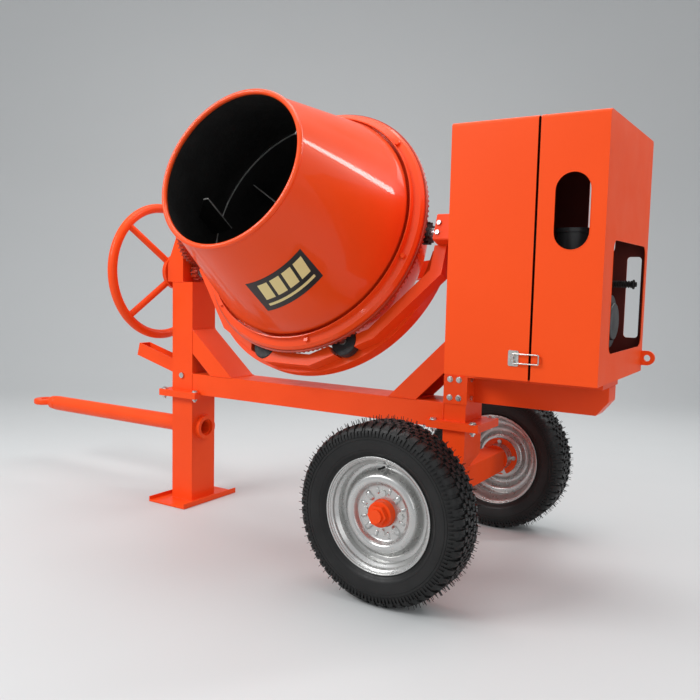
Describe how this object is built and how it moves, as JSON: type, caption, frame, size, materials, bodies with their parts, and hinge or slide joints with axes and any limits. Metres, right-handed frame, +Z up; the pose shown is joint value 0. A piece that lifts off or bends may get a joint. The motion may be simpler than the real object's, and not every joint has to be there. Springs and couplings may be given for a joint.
{
  "type": "concrete mixer",
  "caption": "Towable concrete mixer: tipping drum in a cradle between frame posts, handwheel tipping gear, engine cabinet, road wheels and a tow bar with a ring eye.",
  "frame": {"origin": "middle of the foot plate's underside, on the ground", "axes": "+Z up; +X from the foot towards the wheels and the engine cabinet; -Y is the side the drum's mouth faces"},
  "size_m": [3.1499, 1.2327, 1.7322],
  "materials": {
    "frame_paint": "gloss",
    "drum_paint": "gloss",
    "cabinet_paint": "gloss",
    "zinc": "satin",
    "gear_iron": "satin",
    "shaft_steel": "satin",
    "bearing_iron": "satin",
    "roller_rubber": "matte",
    "belt_rubber": "matte",
    "tyre": "matte",
    "rim_steel": "satin",
    "engine_iron": "satin",
    "engine_fins": "satin",
    "tank_paint": "gloss",
    "filter_black": "satin",
    "muffler_black": "matte",
    "starter_black": "satin"
  },
  "bodies": {
    "chassis": {"foot_plate": "frame_paint", "lower_leg": "frame_paint", "tow_sleeve": "frame_paint", "upright": "frame_paint", "main_beam": "frame_paint", "beam_braces": "frame_paint", "right_post": "frame_paint", "splice_plate": "frame_paint", "lower_post": "frame_paint", "axle_beam": "frame_paint", "stub_axles": "shaft_steel", "tail_beam": "frame_paint", "engine_bed": "frame_paint", "bearing_bracket": "frame_paint", "frame_bearings": "bearing_iron", "frame_bolts": "zinc", "drive_belt": "belt_rubber", "engine_block": "engine_iron", "engine_cylinder": "engine_fins", "fuel_tank": "tank_paint", "air_filter": "filter_black", "muffler": "muffler_black", "recoil_starter": "starter_black", "drive_case": "cabinet_paint", "hood_hinge": "cabinet_paint", "latch_catch": "zinc"},
    "yoke": {"yoke_cradle": "frame_paint", "yoke_back_bar": "frame_paint", "trunnion_blocks": "frame_paint", "trunnion_pins": "shaft_steel", "drum_bearing": "bearing_iron", "roller_pins": "zinc", "tilt_gear": "gear_iron"},
    "drum": {"drum_cone": "drum_paint", "drum_bowl": "drum_paint", "drum_axle": "shaft_steel", "drum_flange": "drum_paint", "flange_bolts": "zinc", "ring_gear": "gear_iron", "mixing_blades": "drum_paint"},
    "drive_train": {"drive_shaft": "shaft_steel", "drive_pinion": "gear_iron", "drive_pulley": "gear_iron"},
    "crankshaft": {"engine_pulley": "gear_iron"},
    "left_support_roller": {"left_roller": "roller_rubber"},
    "right_support_roller": {"right_roller": "roller_rubber"},
    "tipping_wheel": {"handwheel": "frame_paint", "handwheel_shaft": "shaft_steel", "tilt_pinion": "gear_iron"},
    "left_wheel": {"left_tyre": "tyre", "left_rim": "rim_steel", "left_hub": "rim_steel"},
    "right_wheel": {"right_tyre": "tyre", "right_rim": "rim_steel", "right_hub": "rim_steel"},
    "towing": {"tow_bar": "frame_paint", "tow_eye": "frame_paint"},
    "pedal": {"tilt_pedal": "frame_paint"},
    "hood": {"engine_hood": "cabinet_paint"},
    "bail": {"latch_bail": "zinc"}
  },
  "joints": [
    {"name": "drum_tilt", "type": "hinge", "parent": "chassis", "child": "yoke", "pos_m": [0.694, 0, 1.225], "axis": [1, 0, 0], "range_deg": [-60, 65]},
    {"name": "drum_spin", "type": "hinge", "parent": "yoke", "child": "drum", "pos_m": [0.694, 0, 1.225], "axis": [0, -0.9397, 0.342], "continuous": true},
    {"name": "drive_spin", "type": "hinge", "parent": "yoke", "child": "drive_train", "pos_m": [1.4, 0, 1.225], "axis": [1, 0, 0], "continuous": true},
    {"name": "crankshaft_spin", "type": "hinge", "parent": "chassis", "child": "crankshaft", "pos_m": [1.6, 0, 0.925], "axis": [1, 0, 0], "continuous": true},
    {"name": "left_roller_spin", "type": "hinge", "parent": "yoke", "child": "left_support_roller", "pos_m": [0.55527, -0.14668, 0.76353], "axis": [0, -0.9397, 0.342], "continuous": true},
    {"name": "right_roller_spin", "type": "hinge", "parent": "yoke", "child": "right_support_roller", "pos_m": [0.93029, -0.1332, 0.80057], "axis": [0, -0.9397, 0.342], "continuous": true},
    {"name": "handwheel_turn", "type": "hinge", "parent": "chassis", "child": "tipping_wheel", "pos_m": [-0.1, 0, 1.063], "axis": [1, 0, 0], "range_deg": [-230, 212]},
    {"name": "left_wheel_spin", "type": "hinge", "parent": "chassis", "child": "left_wheel", "pos_m": [1.33, -0.4905, 0.297], "axis": [0, 1, 0], "continuous": true},
    {"name": "right_wheel_spin", "type": "hinge", "parent": "chassis", "child": "right_wheel", "pos_m": [1.33, 0.4905, 0.297], "axis": [0, 1, 0], "continuous": true},
    {"name": "tow_bar_slide", "type": "slide", "parent": "chassis", "child": "towing", "axis": [1, 0, 0], "range_m": [0, 0.85]},
    {"name": "pedal_press", "type": "hinge", "parent": "chassis", "child": "pedal", "pos_m": [0, 0, 0.59], "axis": [0, -1, 0], "range_deg": [0, 15], "stiffness_Nm_per_rad": 12, "springref_deg": -57.3},
    {"name": "hood_lift", "type": "hinge", "parent": "chassis", "child": "hood", "pos_m": [1.721, 0, 1.563], "axis": [0, -1, 0], "range_deg": [0, 95]},
    {"name": "latch_swing", "type": "hinge", "parent": "chassis", "child": "bail", "pos_m": [1.668, -0.31, 0.808], "axis": [0, 0, -1], "range_deg": [0, 110]}
  ],
  "couplings": [
    {"joint": "drive_spin", "follows": "drum_spin", "ratio": -13},
    {"joint": "crankshaft_spin", "follows": "drum_spin", "ratio": -58.5},
    {"joint": "left_roller_spin", "follows": "drum_spin", "ratio": -8.1509},
    {"joint": "right_roller_spin", "follows": "drum_spin", "ratio": -8.1509},
    {"joint": "handwheel_turn", "follows": "drum_tilt", "ratio": -3.5}
  ]
}
